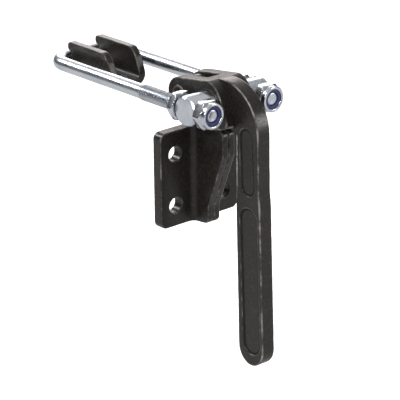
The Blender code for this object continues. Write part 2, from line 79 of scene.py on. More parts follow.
PIVOT_X, PIVOT_Z = PIVOT.x / MM, (PIVOT.z - LEG_LEVEL) / MM
BAR_X = BAR.x / MM


def span(node, axis):
    """Lowest and highest millimetre of a CAD node along X, Y or Z, with Z from the legs' level."""
    low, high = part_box(node)
    lift = LEG_LEVEL if axis == "Z" else 0.0
    index = "XYZ".index(axis)
    return (low[index] - lift) / MM, (high[index] - lift) / MM


# Meshes

SMOOTH_ANGLE, BEVELLED_SMOOTH_ANGLE, ROD_SMOOTH_ANGLE = 32.0, 40.0, 50.0
BEVEL_ANGLE, BEVEL_SEGMENTS = 25.0, 2
VOXEL, KEPT_SHARE, WELD_GAP = 0.36, 0.4, 0.06
UNEVENNESS, LUMP_SIZE, LUMP_DETAIL = 0.10, 9, 2
CURVATURE, CURVATURE_ROUNDS = "curvature", 7


def make(name, points, faces, smooth=SMOOTH_ANGLE):
    """Object from points in millimetres, measured from the legs' level."""
    mesh = bpy.data.meshes.new(name)
    spots = np.asarray(points, float) * MM + np.array([0.0, 0.0, LEG_LEVEL])
    mesh.from_pydata(spots.tolist(), [], [tuple(face) for face in faces])
    mesh.validate()
    shape = bmesh.new()
    shape.from_mesh(mesh)
    bmesh.ops.recalc_face_normals(shape, faces=shape.faces)
    shape.to_mesh(mesh)
    shape.free()
    mesh.shade_smooth()
    mesh.set_sharp_from_angle(angle=math.radians(smooth))
    thing = bpy.data.objects.new(name, mesh)
    bpy.context.scene.collection.objects.link(thing)
    return thing


def skin(rings, closed=False):
    """Points and faces through a row of equal rings; an open row gets an end face at each end."""
    rings = np.asarray(rings, float)
    count, around = rings.shape[:2]
    faces = []
    for row in range(count if closed else count - 1):
        here, there = row * around, (row + 1) % count * around
        for index in range(around):
            after = (index + 1) % around
            faces.append((here + index, here + after, there + after, there + index))
    if not closed:
        faces.append(tuple(range(around)))
        faces.append(tuple(range((count - 1) * around, count * around)))
    return rings.reshape(-1, 3), faces


def ring_angles(sides):
    """Angles of a ring's points."""
    return np.arange(sides) / sides * TURN


def turned(profile, axis, centre, sides=96, closed=False):
    """Rings about a line along X or Y; the profile is a row of (station, radius)."""
    angles = ring_angles(sides)
    rings = []
    for station, radius in profile:
        first, second = centre[0] + radius * np.cos(angles), centre[1] + radius * np.sin(angles)
        along = np.full(sides, station)
        order = (along, first, second) if axis == "X" else (first, along, second)
        rings.append(np.stack(order, axis=1))
    return skin(rings, closed)


def rod(start, end, radius, axis, centre):
    """Plain cylinder; a cutter's mesh."""
    return turned([(start, radius), (end, radius)], axis, centre)


def both_halves(half):
    """Profile about the mid-plane, from the row of its positive half."""
    return [(-along, radius) for along, radius in reversed(half)] + half


def arc(centre, radius, start, end, step=6.0):
    """Points of an arc, ends included; angles in degrees."""
    count = max(2, math.ceil(abs(end - start) / step))
    angles = np.radians(np.linspace(start, end, count + 1))
    return [(centre[0] + radius * math.cos(a), centre[1] + radius * math.sin(a)) for a in angles]


def prism(outline, low, high, axis="Y"):
    """Outline extruded along Y or Z."""
    order = (lambda u, v, w: (u, w, v)) if axis == "Y" else (lambda u, v, w: (u, v, w))
    return skin([[order(u, v, level) for u, v in outline] for level in (low, high)])


def settle(thing):
    """Apply a piece's modifiers."""
    bpy.context.view_layer.update()
    graph = bpy.context.evaluated_depsgraph_get()
    mesh = bpy.data.meshes.new_from_object(thing.evaluated_get(graph))
    thing.modifiers.clear()
    thing.data = mesh


def cut(thing, solids):
    """Take solids, each given as points and faces, out of a piece."""
    cutters = []
    for number, (points, faces) in enumerate(solids):
        cutter = make(f"cutter_{number}", points, faces)
        modifier = thing.modifiers.new(cutter.name, "BOOLEAN")
        modifier.operation = "DIFFERENCE"
        modifier.solver = "EXACT"
        modifier.object = cutter
        cutters.append(cutter)
    settle(thing)
    for cutter in cutters:
        bpy.data.objects.remove(cutter, do_unlink=True)


def bevel(thing, width):
    """Round a piece's edges off."""
    modifier = thing.modifiers.new("edges", "BEVEL")
    modifier.width = width * MM
    modifier.segments = BEVEL_SEGMENTS
    modifier.limit_method = "ANGLE"
    modifier.angle_limit = math.radians(BEVEL_ANGLE)
    settle(thing)
    thing.data.shade_smooth()
    thing.data.set_sharp_from_angle(angle=math.radians(BEVELLED_SMOOTH_ANGLE))


def forge(thing, rounds):
    """Give a piece a forging's soft edges, softer with each round, and its slightly uneven faces."""
    remesh = thing.modifiers.new("remesh", "REMESH")
    remesh.mode = "VOXEL"
    remesh.voxel_size = VOXEL * MM
    remesh.adaptivity = 0.0
    smooth = thing.modifiers.new("smooth", "SMOOTH")
    smooth.factor = 0.5
    smooth.iterations = rounds
    clouds = bpy.data.textures.new(thing.name + "_clouds", "CLOUDS")
    clouds.noise_scale = LUMP_SIZE * MM
    clouds.noise_depth = LUMP_DETAIL
    displace = thing.modifiers.new("uneven", "DISPLACE")
    displace.texture = clouds
    displace.texture_coords = "LOCAL"
    displace.mid_level = 0.5
    displace.strength = UNEVENNESS * MM
    thin = thing.modifiers.new("thin", "DECIMATE")
    thin.ratio = KEPT_SHARE
    settle(thing)
    weld(thing)
    thing.data.shade_smooth()


def weld(thing):
    """Close up the slivers that thinning a mesh leaves."""
    shape = bmesh.new()
    shape.from_mesh(thing.data)
    bmesh.ops.remove_doubles(shape, verts=shape.verts, dist=WELD_GAP * MM)
    bmesh.ops.dissolve_degenerate(shape, edges=shape.edges, dist=WELD_GAP * MM)
    shape.to_mesh(thing.data)
    shape.free()


def read(items, word, width, kind=float):
    """Array of one property of a mesh's items."""
    values = np.empty(len(items) * width, kind)
    items.foreach_get(word, values)
    return values.reshape(-1, width)


def mark_edges(thing):
    """Store each point's curvature, in 1/mm and positive where it stands out, for the coat's worn edges and their
    painted highlight, and for its painted shade in creases.
    """
    mesh = thing.data
    spots = read(mesh.vertices, "co", 3) / MM
    normals = read(mesh.vertex_normals, "vector", 3)
    ends = read(mesh.edges, "vertices", 2, int)
    here, there = np.concatenate([ends, ends[:, ::-1]]).T
    count = np.bincount(here, minlength=len(spots))
    step = spots[there] - spots[here]
    bend = -2 * (normals[here] * step).sum(axis=1) / (step * step).sum(axis=1)
    level = np.bincount(here, bend, len(spots)) / count
    for _ in range(CURVATURE_ROUNDS):
        beside = np.bincount(here, level[there], len(spots)) / count
        level = (level + beside) / 2
    mesh.attributes.new(CURVATURE, "FLOAT", "POINT").data.foreach_set("value", level)


def copy_node(node, name):
    """A piece of its own with a CAD node's shape."""
    thing = bpy.data.objects.new(name, frame["nodes"][node].data.copy())
    thing.data.materials.clear()
    bpy.context.scene.collection.objects.link(thing)
    return thing


def stand_in(thing, node, material, slot):
    """Show a piece in place of a CAD node, on that node's body."""
    thing.data.materials.clear()
    thing.data.materials.append(material)
    if slot == "black_forging":
        mark_edges(thing)
    body = next(name for name, nodes in BODIES.items() if node in nodes)
    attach(thing, body)
    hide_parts(node)


# Handle and rivet

HEAD_HALF = span("handle", "Y")[1]
ARM_HALF = 5.0
# A sweep is an arc's start and end angle. The grip's sides are given at its top and at its bottom.
NOSE_RADIUS, NOSE_SWEEP = 10.4, (257.0, 96.8)
SHOULDER_CENTRE, SHOULDER_RADIUS, SHOULDER_SWEEP = (35.4, -14.4), 30.2, (97.0, 3.0)
NECK_OUTER, NECK_INNER, NECK_END, NECK_EASE = 66.0, 46.8, -49.0, 6.0
GRIP_OUTER, GRIP_INNER, GRIP_LEAN = (67.0, 70.0), (46.0, 48.2), 0.2
GRIP_START, GRIP_END = -57.0, -152.5
GRIP_BOTTOM = span("handle", "Z")[0]
UNDERSIDE = ((46.8, -16.6), (46.0, -14.0), (44.0, -12.4), (41.0, -12.6), (28.0, -14.6))
CHEEK_FRONT = (
    (26.0, 16.3), (31.6, 15.1), (35.0, 13.7), (37.8, 11.4), (40.2, 7.9), (42.4, 4.1), (45.0, -0.9),
    (46.7, -6.2), (46.8, -9.0), (45.6, -11.0), (43.6, -12.3), (38.0, -14.2),
)
RELIEF_TOP = 30.0
SLOT_HALF, SLOT_END = 5.15, 21.2
RECESS_DEPTH = 0.95
RECESSES = ((55.0, -10.7, 56.4, -53.2, 5.6), (57.0, -61.0, 59.9, -156.8, 7.4))
HANDLE_ROUNDS = 6
BAR_RADIUS = 9.5
# How far cutters reach past the face that they open, and past the whole outline.
CUT_PAST, BEYOND = 2, 20.0
RIVET_RADIUS, RIVET_SIDES = 4.6, 64
BORE_GAP, RIVET_GAP = 0.25, 0.15
RIM_BEVEL, DOME_STEPS = 0.1, 7
# The dome narrows by one share of the head's radius, to a flat crown of the other.
DOME_FALL, CROWN_SHARE, CROWN_RISE = 0.55, 0.2, 0.03


def soften(points, rounds=2):
    """Cut the corners of an open row of points, ends kept."""
    points = [np.asarray(point, float) for point in points]
    for _ in range(rounds):
        softer = [points[0]]
        for first, second in zip(points, points[1:]):
            softer += [first * 0.75 + second * 0.25, first * 0.25 + second * 0.75]
        points = softer + [points[-1]]
    return [tuple(point) for point in points]


def grip_end():
    """Round lower end of the grip, half an ellipse, from its outer side to its inner side."""
    centre, half = (GRIP_OUTER[1] + GRIP_INNER[1]) / 2, (GRIP_OUTER[1] - GRIP_INNER[1]) / 2
    height = GRIP_END - GRIP_BOTTOM
    return [(centre + half * x, GRIP_END - height * z) for x, z in arc((0.0, 0.0), 1.0, 0.0, 180.0)]


def handle_outline():
    """Side view of the whole handle, from under its nose over the top and down to the grip."""
    points = arc((PIVOT_X, PIVOT_Z), NOSE_RADIUS, *NOSE_SWEEP, step=4)
    points += arc(SHOULDER_CENTRE, SHOULDER_RADIUS, *SHOULDER_SWEEP, step=3)
    points += soften([
        (NECK_OUTER, NECK_END + NECK_EASE),
        (NECK_OUTER, NECK_END),
        (GRIP_OUTER[0], GRIP_START),
        (GRIP_OUTER[0] + GRIP_LEAN, GRIP_START - NECK_EASE),
    ])
    points += grip_end()
    points += [(GRIP_INNER[0], GRIP_START), (NECK_INNER, NECK_END)]
    return points + soften(UNDERSIDE, 1)


def relief_outline():
    """Region in front of the cheeks, where the handle is thinned to the arm."""
    front = soften(CHEEK_FRONT)
    low, far = GRIP_BOTTOM - BEYOND, GRIP_OUTER[1] + BEYOND
    return front + [(front[-1][0], low), (far, low), (far, RELIEF_TOP), (front[0][0], RELIEF_TOP)]


def pocket(recess, side):
    """Round-ended pocket in one face of the arm; a recess is its top, its bottom and its end radius."""
    top_x, top_z, bottom_x, bottom_z, radius = recess
    top, bottom = (top_x, top_z - radius), (bottom_x, bottom_z + radius)
    lean = math.degrees(math.atan2(bottom[0] - top[0], top[1] - bottom[1]))
    outline = arc(top, radius, lean, 180 + lean) + arc(bottom, radius, 180 + lean, 360 + lean)
    return prism(outline, side * (ARM_HALF - RECESS_DEPTH), side * (ARM_HALF + CUT_PAST))


def build_handle(material):
    """One forging: a forked head on the pivot, a shoulder, and an arm with two recesses a side."""
    handle = make("handle_forging", *prism(handle_outline(), -HEAD_HALF, HEAD_HALF))
    rear, reach = PIVOT_X - 2 * NOSE_RADIUS, HEAD_HALF + CUT_PAST
    slot = [(rear, -SLOT_HALF), (SLOT_END, -SLOT_HALF), (SLOT_END, SLOT_HALF), (rear, SLOT_HALF)]
    solids = [
        prism(slot, -4 * NOSE_RADIUS, 4 * NOSE_RADIUS, axis="Z"),
        rod(-reach, reach, BAR_RADIUS + BORE_GAP, "Y", (BAR_X, 0.0)),
        rod(-reach, reach, RIVET_RADIUS + BORE_GAP, "Y", (PIVOT_X, PIVOT_Z)),
    ]
    solids += [prism(relief_outline(), side * ARM_HALF, side * reach) for side, _ in SIDES]
    solids += [pocket(recess, side) for recess in RECESSES for side, _ in SIDES]
    cut(handle, solids)
    forge(handle, HANDLE_ROUNDS)
    stand_in(handle, "handle", material, "black_forging")


def build_rivet(material):
    """Rivet whose low domed heads close on the fork's cheeks."""
    seat, crown = HEAD_HALF + RIVET_GAP, span("pivot_rivet", "Y")[1]
    low, high = span("pivot_rivet", "X")
    head = (high - low) / 2
    dome = [
        (seat + (crown - seat) * math.sin(a), head - DOME_FALL * head * (1 - math.cos(a)))
        for a in np.radians(np.linspace(0, 90, DOME_STEPS))
    ]
    half = [(seat, RIVET_RADIUS), (seat, head - RIM_BEVEL), *dome, (crown + CROWN_RISE, CROWN_SHARE * head)]
    rivet = make("rivet", *turned(both_halves(half), "Y", (PIVOT_X, PIVOT_Z), sides=RIVET_SIDES))
    stand_in(rivet, "pivot_rivet", material, "black_forging")


# Brackets and catch

BRACKET_ROUNDS, CATCH_ROUNDS = 14, 9


def build_pressing(node, name, material, rounds):
    """A pressing whose shape is the CAD's, with soft edges."""
    piece = copy_node(node, name)
    forge(piece, rounds)
    stand_in(piece, node, material, "black_forging")


# Cross bar and U-bolt

THREAD_RADIUS, THREAD_ROOT, PITCH = 5.0, 4.0, 1.5
ROOT_SHARE, FLANK_SHARE = 0.14, 0.50
THREAD_START, RUN_OUT = -17.5, 2.5
SHANK_RADIUS = 4.65
TIP_RADIUS, TIP_LENGTH = 3.95, 2.4
# The tip's face: how far back from the leg's end, and the radius there.
TIP_FACE = ((0.3, 0.3), (0.25, 1.5), (0.04, 2.7), (0.0, 3.2), (0.05, TIP_RADIUS - 0.25))
FIRST_RING, RING_STEP, SHANK_RINGS = 0.4, 0.15, 14
CORNER_RADIUS, CORNER_RINGS, CORNER_MARGIN = 11.5, 19, 2
BEND_X, BOLT_END = span("u_bolt", "X")[0] + SHANK_RADIUS, span("u_bolt", "X")[1]
LEG_SIDES = 40
BAR_CHAMFER, BAR_BEVEL, LEG_GAP = 1.1, 0.22, 0.2
SEAT, SEAT_RADIUS = 8.9, 10.4


def leg_cutters(side):
    """Hole for one leg, and the flats that its nuts seat on."""
    leg, far = (side * LEG_Y, 0.0), 2 * BAR_RADIUS
    hole = rod(BAR_X - far, BAR_X + far, THREAD_RADIUS + LEG_GAP, "X", leg)
    seats = [
        rod(BAR_X + facing * SEAT, BAR_X + facing * far, SEAT_RADIUS, "X", leg)
        for facing in (-1, 1)
    ]
    return [hole, *seats]


def build_cross_bar(material):
    """Round trunnion bar, with a hole and two flats for each leg."""
    end = span("cross_bar", "Y")[1]
    half = [(end - BAR_CHAMFER, BAR_RADIUS), (end, BAR_RADIUS - BAR_CHAMFER)]
    bar = make("cross_bar_steel", *turned(both_halves(half), "Y", (BAR_X, 0.0)))
    cut(bar, [solid for side, _ in SIDES for solid in leg_cutters(side)])
    bevel(bar, BAR_BEVEL)
    stand_in(bar, "cross_bar", material, "zinc_plate")


def thread_radius(x, angle):
    """Radius of a leg at a station and an angle: a right-hand thread, its run-out and its plain tip.

    The root's flat and the two flanks each take a share of the pitch, and the crest takes the rest.
    """
    phase = np.mod(x / PITCH - angle / TURN, 1.0)
    climb = np.clip((np.abs(phase - 0.5) * 2 - ROOT_SHARE) / FLANK_SHARE, 0.0, 1.0)
    profile = THREAD_ROOT + (THREAD_RADIUS - THREAD_ROOT) * climb
    grown = np.clip((x - THREAD_START) / RUN_OUT, 0.0, 1.0)
    radius = SHANK_RADIUS + (profile - SHANK_RADIUS) * grown * grown * (3 - 2 * grown)
    tip = TIP_RADIUS + max(0.0, BOLT_END - TIP_LENGTH - x)
    return np.minimum(radius, tip)


def leg_rings(side, angles):
    """Rings of one leg: from its tip to the bend on the left, from the bend to its tip on the right."""
    stations = [(BOLT_END - back, np.full(angles.shape, radius)) for back, radius in TIP_FACE]
    turn = angles if side < 0 else math.pi - angles
    for x in np.arange(BOLT_END - FIRST_RING, THREAD_START, -RING_STEP):
        stations.append((x, thread_radius(x, turn)))
    for x in np.linspace(THREAD_START, BEND_X + CORNER_RADIUS + CORNER_MARGIN, SHANK_RINGS):
        stations.append((x, np.full(angles.shape, SHANK_RADIUS)))
    rings = [
        np.stack([
            np.full(angles.shape, x),
            side * LEG_Y - side * radius * np.cos(angles),
            radius * np.sin(angles),
        ], axis=1)
        for x, radius in stations
    ]
    return rings if side < 0 else rings[::-1]


def corner_rings(side, start, angles):
    """Rings of one rounded corner of the bend."""
    centre = (BEND_X + CORNER_RADIUS, side * (LEG_Y - CORNER_RADIUS))
    reach = CORNER_RADIUS - SHANK_RADIUS * np.cos(angles)
    rings = []
    for turn in np.radians(np.linspace(start, start - 90, CORNER_RINGS)):
        rings.append(np.stack([
            centre[0] + math.cos(turn) * reach,
            centre[1] + math.sin(turn) * reach,
            SHANK_RADIUS * np.sin(angles),
        ], axis=1))
    return rings


def build_u_bolt(material):
    """One rod: the left leg, two corners with the bend between them, and the right leg."""
    angles = ring_angles(LEG_SIDES)
    rings = leg_rings(-1, angles)
    rings += corner_rings(-1, 270.0, angles) + corner_rings(1, 180.0, angles)
    rings += leg_rings(1, angles)
    bolt = make("u_bolt_rod", *skin(rings), smooth=ROD_SMOOTH_ANGLE)
    stand_in(bolt, "u_bolt", material, "zinc_plate")


# Nuts and nylon rings

FLATS, CORNER_SHARPNESS, CHAMFER_ANGLE = 17.0, 60, 30
NUT_BORE = THREAD_RADIUS + 0.06
NUT_MOUTH, MOUTH_DEPTH = 5.9, 0.85
NUT_FACE = 8.05
HEX_NUT_BEVEL, LOCK_NUT_BEVEL = 0.14, 0.12
HEX_HEIGHT, COLLAR, COLLAR_CHAMFER = 6.6, 8.25, 0.1
# The collar's foot: how far past the shoulder, and how far below the collar's radius.
COLLAR_FOOT = ((0.0, 0.15), (0.12, 0.35), (0.5, 0.0))
LIP_RADIUS, LIP_BORE = 0.8, 6.2
# The lip's inner edge: how far back from the nut's end, and how far outside the lip's bore.
LIP_EDGE = ((0.12, 0.3), (0.42, 0.0))
RING_ROOM, RING_GAP, LIP_DRAFT = 6.6, 0.06, 0.02
RING_OUTER, RING_BORE = 6.5, 4.2
RING_EDGE, RING_CHAMFER, RING_DISH = 0.45, 0.2, 0.15
NUT_SIDES, RING_SIDES = 96, 72


def hexagon(angles):
    """Radius of a hexagon with slightly rounded corners, which point along Y."""
    normals = np.radians(30 + 60 * np.arange(6))
    facing = np.maximum(0.0, np.cos(angles[:, None] - normals[None, :])) ** CORNER_SHARPNESS
    return FLATS / 2 / facing.sum(axis=1) ** (1 / CORNER_SHARPNESS)


def nut_rings(rows, side):
    """Rings of a nut on a leg; a row is (station, radius), each a number or one per angle."""
    angles, ones = ring_angles(NUT_SIDES), np.ones(NUT_SIDES)
    return [
        np.stack([
            station * ones,
            side * LEG_Y + radius * ones * np.cos(angles),
            radius * ones * np.sin(angles),
        ], axis=1)
        for station, radius in rows
    ]


def nut_end(face, inward):
    """Rows of a nut's flat end, from its bore over the countersink to the chamfer."""
    return [(face + inward * MOUTH_DEPTH, NUT_BORE), (face, NUT_MOUTH), (face, NUT_FACE)]


def hex_flank(low, high, face_low, face_high):
    """Rows of the six flats between two chamfered faces."""
    hexes = hexagon(ring_angles(NUT_SIDES))
    slope = math.tan(math.radians(CHAMFER_ANGLE))
    return [
        (low + (hexes - face_low) * slope, hexes),
        (high - (hexes - face_high) * slope, hexes),
    ]


def build_hex_nut(word, side, material):
    low, high = span("hex_nut_" + word, "X")
    rows = nut_end(low, 1) + hex_flank(low, high, NUT_FACE, NUT_FACE) + nut_end(high, -1)[::-1]
    nut = make("hex_nut_steel_" + word, *skin(nut_rings(rows, side), closed=True))
    bevel(nut, HEX_NUT_BEVEL)
    stand_in(nut, "hex_nut_" + word, material, "zinc_plate")


def build_lock_nut(word, side, material):
    """Hex nut with a round collar, rolled in over the nylon ring."""
    low, high = span("lock_nut_" + word, "X")
    ring_low, ring_high = span("nylon_ring_" + word, "X")
    shoulder = low + HEX_HEIGHT
    rows = nut_end(low, 1) + hex_flank(low, shoulder, NUT_FACE, COLLAR - COLLAR_CHAMFER)
    rows += [(shoulder + along, COLLAR - depth) for along, depth in COLLAR_FOOT]
    rows += arc((high - LIP_RADIUS, COLLAR - LIP_RADIUS), LIP_RADIUS, 90, 0, step=15)
    rows += [(high - back, LIP_BORE + rise) for back, rise in LIP_EDGE]
    rows += [(ring_high + RING_GAP, LIP_BORE + LIP_DRAFT), (ring_high + RING_GAP, RING_ROOM)]
    rows += [(ring_low - RING_GAP, RING_ROOM), (ring_low - RING_GAP, NUT_BORE)]
    nut = make("lock_nut_steel_" + word, *skin(nut_rings(rows, side), closed=True))
    bevel(nut, LOCK_NUT_BEVEL)
    stand_in(nut, "lock_nut_" + word, material, "zinc_plate")


def build_nylon_ring(word, side, material):
    """Ring with rounded outer edges and a slightly dished face."""
    low, high = span("nylon_ring_" + word, "X")
    edge_x = high - RING_EDGE
    profile = [(low, RING_BORE + RING_CHAMFER), (low, RING_OUTER)]
    profile += arc((edge_x, RING_OUTER - RING_EDGE), RING_EDGE, 90, 0, step=30)
    profile += [(high - RING_DISH * RING_EDGE, (RING_OUTER + RING_BORE) / 2)]
    profile += arc((edge_x, RING_BORE + RING_EDGE), RING_EDGE, 0, -90, step=30)
    profile += [(low + RING_CHAMFER, RING_BORE)]
    points, faces = turned(profile, "X", (side * LEG_Y, 0.0), sides=RING_SIDES, closed=True)
    ring = make("nylon_ring_insert_" + word, points, faces)
    stand_in(ring, "nylon_ring_" + word, material, "blue_nylon")


# Materials

NOISE_SPREAD = (0.3, 0.7)
ALONG_X, ALONG_Y, EVEN = (0.04, 1.0, 1.0), (1.0, 0.05, 1.0), (1.0, 1.0, 1.0)
ROD_ROUGHNESS, BAR_ROUGHNESS, NUT_ROUGHNESS = (0.20, 0.33), (0.16, 0.28), (0.12, 0.24)
ZINC_TONES, ZINC_DULL = ((0.38, 0.405, 0.445), (0.47, 0.485, 0.51)), (0.29, 0.305, 0.34)
# Painted shade for the roots of the U-bolt's thread, and the margin inside crest and root over which it fades in.
THREAD_ROOT_SHADE, THREAD_MARGIN = (0.07, 0.075, 0.085), 0.25
BLACK_TONES, BLACK_GRAIN = ((0.0070, 0.0060, 0.0052), (0.0100, 0.0084, 0.0072)), (0.022, 0.0185, 0.016)
# Painted shade for concave creases and recess edges; bare steel for edges worn through, which also stands in for a
# painted highlight along them; and the curvature ranges that bring each in.
PAINTED_HOLLOW_SHADE, BARE_STEEL_AND_GLINT = (0.0015, 0.0013, 0.0012), (0.40, 0.375, 0.355)
WORN_AND_GLINT_CURVATURE, PAINTED_SHADE_CURVATURE = (0.20, 0.46), (-0.06, -0.30)
# How strongly edges show bare steel, worn through and painted as a highlight, on the handle and on the pressings.
HANDLE_WEAR_AND_GLINT, PRESSING_WEAR_AND_GLINT = 0.4, 0.25
NYLON_TONES = ((0.009, 0.010, 0.050), (0.016, 0.018, 0.078))
FLOOR_TONES = ((0.90, 0.90, 0.90), (0.93, 0.93, 0.93))


def new_material(name):
    material = bpy.data.materials.new(name)
    material.use_nodes = True
    tree = material.node_tree
    shader = tree.nodes["Principled BSDF"]
    coords = tree.nodes.new("ShaderNodeTexCoord").outputs["Object"]
    return material, tree, shader, coords


def noise(tree, coords, scale, detail=3.0, roughness=0.55, stretch=None):
    """Noise value; scale is in features per metre, and stretch squeezes it along X, Y and Z."""
    texture = tree.nodes.new("ShaderNodeTexNoise")
    texture.inputs["Scale"].default_value = scale
    texture.inputs["Detail"].default_value = detail
    texture.inputs["Roughness"].default_value = roughness
    if stretch is not None:
        mapping = tree.nodes.new("ShaderNodeMapping")
        mapping.inputs["Scale"].default_value = stretch
        tree.links.new(coords, mapping.inputs["Vector"])
        coords = mapping.outputs["Vector"]
    tree.links.new(coords, texture.inputs["Vector"])
    return texture.outputs["Fac"]


def remap(tree, value, source, target=(0.0, 1.0)):
    """Value brought from one range to another, and held inside it."""
    node = tree.nodes.new("ShaderNodeMapRange")
    for name, number in zip(("From Min", "From Max", "To Min", "To Max"), (*source, *target)):
        node.inputs[name].default_value = number
    tree.links.new(value, node.inputs["Value"])
    return node.outputs["Result"]


def maths(tree, operation, first, second=0.0):
    """Result of a sum; each term is a number or another node's output."""
    node = tree.nodes.new("ShaderNodeMath")
    node.operation = operation
    for socket, value in zip(node.inputs, (first, second)):
        if isinstance(value, (int, float)):
            socket.default_value = value
        else:
            tree.links.new(value, socket)
    return node.outputs["Value"]


def blend_colour(tree, factor, first, second):
    """Colour between two; each is a colour or another node's output."""
    node = tree.nodes.new("ShaderNodeMix")
    node.data_type = "RGBA"
    tree.links.new(factor, node.inputs["Factor"])
    for name, value in (("A", first), ("B", second)):
        socket = next(one for one in node.inputs if one.name == name and one.type == "RGBA")
        if isinstance(value, tuple):
            socket.default_value = (*value, 1.0)
        else:
            tree.links.new(value, socket)
    return next(one for one in node.outputs if one.type == "RGBA")


def bump(tree, shader, height, strength, distance):
    """Relief in the shader's normal; distance is the relief's height in metres."""
    node = tree.nodes.new("ShaderNodeBump")
    node.inputs["Strength"].default_value = strength
    node.inputs["Distance"].default_value = distance
    tree.links.new(height, node.inputs["Height"])
    tree.links.new(node.outputs["Normal"], shader.inputs["Normal"])


def black_forging(name, wear_and_glint):
    """Satin black coat over a forging: grainy, mottled, worn through to bare metal in places along its edges,
    which also paints a highlight along them, and with painted shade in its concave creases.
    """
    material, tree, shader, coords = new_material(name)
    fine = noise(tree, coords, 1500, 2.0)
    grain = noise(tree, coords, 560, 4.0, 0.65)
    broad = noise(tree, coords, 48)
    patches = noise(tree, coords, 90, 5.0, 0.72)
    attribute = tree.nodes.new("ShaderNodeAttribute")
    attribute.attribute_name = CURVATURE
    edge = remap(tree, attribute.outputs["Fac"], WORN_AND_GLINT_CURVATURE)
    # Painted shade: darker in concave creases and recess edges, where shade falls.
    painted_shade = remap(tree, attribute.outputs["Fac"], PAINTED_SHADE_CURVATURE)
    # Edges worn through to bare steel in patches, which also paints a highlight along them.
    worn_and_glint = maths(tree, "MULTIPLY", edge, remap(tree, patches, (0.46, 0.64), (0.10 * wear_and_glint, wear_and_glint)))
    coat = blend_colour(tree, remap(tree, broad, NOISE_SPREAD), *BLACK_TONES)
    coat = blend_colour(tree, remap(tree, grain, (0.52, 0.72)), coat, BLACK_GRAIN)
    # Painted shade laid into the creases.
    coat = blend_colour(tree, painted_shade, coat, PAINTED_HOLLOW_SHADE)
    # Bare metallic steel on the worn edges, bright as a painted highlight.
    coat = blend_colour(tree, worn_and_glint, coat, BARE_STEEL_AND_GLINT)
    rough = remap(tree, grain, NOISE_SPREAD, (0.25, 0.38))
    rough = maths(tree, "ADD", rough, maths(tree, "MULTIPLY", painted_shade, 0.45))
    rough = maths(tree, "SUBTRACT", rough, maths(tree, "MULTIPLY", worn_and_glint, 0.08))
    tree.links.new(coat, shader.inputs["Base Color"])
    tree.links.new(maths(tree, "MULTIPLY", worn_and_glint, 0.75), shader.inputs["Metallic"])
    tree.links.new(rough, shader.inputs["Roughness"])
    bump(tree, shader, maths(tree, "ADD", maths(tree, "MULTIPLY", fine, 0.5), grain), 0.5, 0.00016)
    shader.inputs["Specular IOR Level"].default_value = 0.20
    return material


def thread_depth(tree, coords):
    """How deep a spot lies in the U-bolt's thread: 0 on a crest, 1 at a root, 0 off the thread."""
    place = tree.nodes.new("ShaderNodeSeparateXYZ")
    tree.links.new(coords, place.inputs["Vector"])
    across = maths(tree, "SUBTRACT", maths(tree, "ABSOLUTE", place.outputs["Y"]), LEG_Y * MM)
    up = maths(tree, "SUBTRACT", place.outputs["Z"], LEG_LEVEL)
    squares = (maths(tree, "MULTIPLY", across, across), maths(tree, "MULTIPLY", up, up))
    radius = maths(tree, "SQRT", maths(tree, "ADD", *squares))
    crest, root = (THREAD_RADIUS - THREAD_MARGIN) * MM, (THREAD_ROOT + THREAD_MARGIN) * MM
    depth = remap(tree, radius, (crest, root))
    start = maths(tree, "GREATER_THAN", place.outputs["X"], (THREAD_START + PITCH) * MM)
    end = maths(tree, "LESS_THAN", place.outputs["X"], (BOLT_END - TIP_LENGTH) * MM)
    return maths(tree, "MULTIPLY", depth, maths(tree, "MULTIPLY", start, end))


def zinc_plate(name, roughness, stretch=EVEN, threaded=False):
    """Bright bluish zinc plate on steel, faintly streaked along the way it was drawn or turned; a threaded one
    gets painted shade in its thread's roots.
    """
    material, tree, shader, coords = new_material(name)
    broad = noise(tree, coords, 60)
    patches = noise(tree, coords, 260, 4.0, 0.6)
    streaks = noise(tree, coords, 900, 3.0, 0.6, stretch)
    dull = remap(tree, patches, (0.45, 0.75), (0.0, 0.35))
    plate = blend_colour(tree, remap(tree, broad, NOISE_SPREAD), *ZINC_TONES)
    plate = blend_colour(tree, dull, plate, ZINC_DULL)
    if threaded:
        # Painted shade, darker the deeper a spot lies in the thread.
        plate = blend_colour(tree, thread_depth(tree, coords), plate, THREAD_ROOT_SHADE)
    rough = remap(tree, streaks, NOISE_SPREAD, roughness)
    rough = maths(tree, "ADD", rough, maths(tree, "MULTIPLY", dull, 0.2))
    tree.links.new(plate, shader.inputs["Base Color"])
    tree.links.new(rough, shader.inputs["Roughness"])
    relief = maths(tree, "ADD", streaks, maths(tree, "MULTIPLY", patches, 0.8))
    bump(tree, shader, relief, 0.22, 0.00006)
    shader.inputs["Metallic"].default_value = 1.0
    return material


def blue_nylon(name):
    """Moulded dark blue nylon, faintly mottled."""
    material, tree, shader, coords = new_material(name)
    mottle = noise(tree, coords, 420)
    fine = noise(tree, coords, 1600, 2.0)
    colour = blend_colour(tree, remap(tree, mottle, NOISE_SPREAD), *NYLON_TONES)
    tree.links.new(colour, shader.inputs["Base Color"])
    tree.links.new(remap(tree, fine, NOISE_SPREAD, (0.30, 0.42)), shader.inputs["Roughness"])
    bump(tree, shader, fine, 0.25, 0.00005)
    shader.inputs["Specular IOR Level"].default_value = 0.3
    return material


def floor_paint(name):
    """Matt pale paint."""
    material, tree, shader, coords = new_material(name)
    colour = blend_colour(tree, noise(tree, coords, 1.5, 2.0), *FLOOR_TONES)
    tree.links.new(colour, shader.inputs["Base Color"])
    shader.inputs["Roughness"].default_value = 0.9
    shader.inputs["Specular IOR Level"].default_value = 0.1
    return material


# Stage, light and camera

FLOOR_DROP, FLOOR_SIZE = 0.07, 12.0
